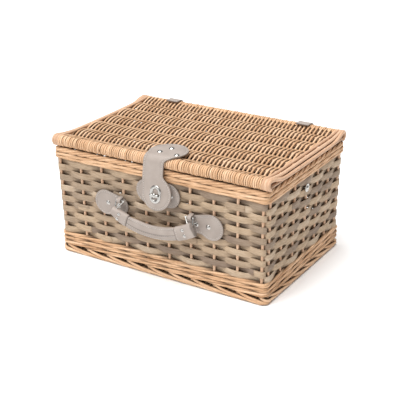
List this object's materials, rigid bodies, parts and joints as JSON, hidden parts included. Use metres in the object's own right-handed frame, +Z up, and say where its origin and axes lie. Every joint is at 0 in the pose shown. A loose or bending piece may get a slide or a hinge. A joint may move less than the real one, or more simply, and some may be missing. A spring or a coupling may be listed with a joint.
{
  "type": "lidded wicker basket",
  "caption": "Rectangular woven willow hamper with a flat hinged lid, a leather closing strap with a turn lock, and a padded leather carrying handle on its front wall.",
  "frame": {"origin": "middle of the flat underside of the base, where the basket stands", "axes": "+X to the right along the front, -Y out of the front wall with the lock and handle, +Z up"},
  "size_m": [0.4, 0.2903, 0.21],
  "materials": {
    "willow": "buff willow rods, satin",
    "willow_rod": "thicker buff willow rods, satin",
    "chip": "grey-washed split chipwood, matt",
    "leather": "light warm grey leather, fine grain",
    "metal": "polished nickel plate"
  },
  "bodies": {
    "basket": {"base_panel": "willow", "base_sticks": "willow_rod", "foot_border": "willow", "bottom_wale": "willow", "chip_weave": "chip", "stakes_front": "willow_rod", "stakes_back": "willow_rod", "stakes_left": "willow_rod", "stakes_right": "willow_rod", "top_wale": "willow", "rim_border": "willow", "lock_backing": "leather", "lock_backing_rivets": "metal", "lock_base": "metal", "handle_patch_left": "leather", "handle_patch_right": "leather", "patch_rivets_left": "metal", "patch_rivets_right": "metal", "hinge_left_wall_leaf": "leather", "hinge_right_wall_leaf": "leather", "hinge_wall_rivets": "metal", "side_rivets": "metal", "patch_loop_left": "leather", "patch_loop_right": "leather"},
    "lid": {"lid_front_rail": "willow_rod", "lid_rear_rail": "willow_rod", "lid_side_rods_left": "willow_rod", "lid_side_rods_right": "willow_rod", "lid_sticks": "willow_rod", "lid_weave": "willow", "strap_head": "leather", "strap_head_rivets": "metal", "hinge_left_lid_leaf": "leather", "hinge_right_lid_leaf": "leather"},
    "latch_strap": {"strap_flap": "leather", "lock_eyelet": "metal"},
    "turn_knob": {"lock_knob": "metal"},
    "handle": {"handle_grip": "leather", "handle_end_left": "leather", "handle_end_right": "leather", "handle_end_rivets": "metal", "ring_left": "metal", "ring_right": "metal"}
  },
  "joints": [
    {"name": "lid_hinge", "type": "hinge", "parent": "basket", "child": "lid", "pos_m": [0, 0.135, 0.1863], "axis": [-1, 0, 0], "range_deg": [0, 105]},
    {"name": "strap_bend", "type": "hinge", "parent": "lid", "child": "latch_strap", "pos_m": [0.01, -0.13595, 0.1953], "axis": [-1, 0, 0], "range_deg": [0, 150]},
    {"name": "knob_turn", "type": "hinge", "parent": "basket", "child": "turn_knob", "pos_m": [0.01, -0.1474, 0.1488], "axis": [0, -1, 0], "range_deg": [0, 90]},
    {"name": "handle_swing", "type": "hinge", "parent": "basket", "child": "handle", "pos_m": [0.0035, -0.1395, 0.1225], "axis": [-1, 0, 0], "range_deg": [0, 120]}
  ]
}
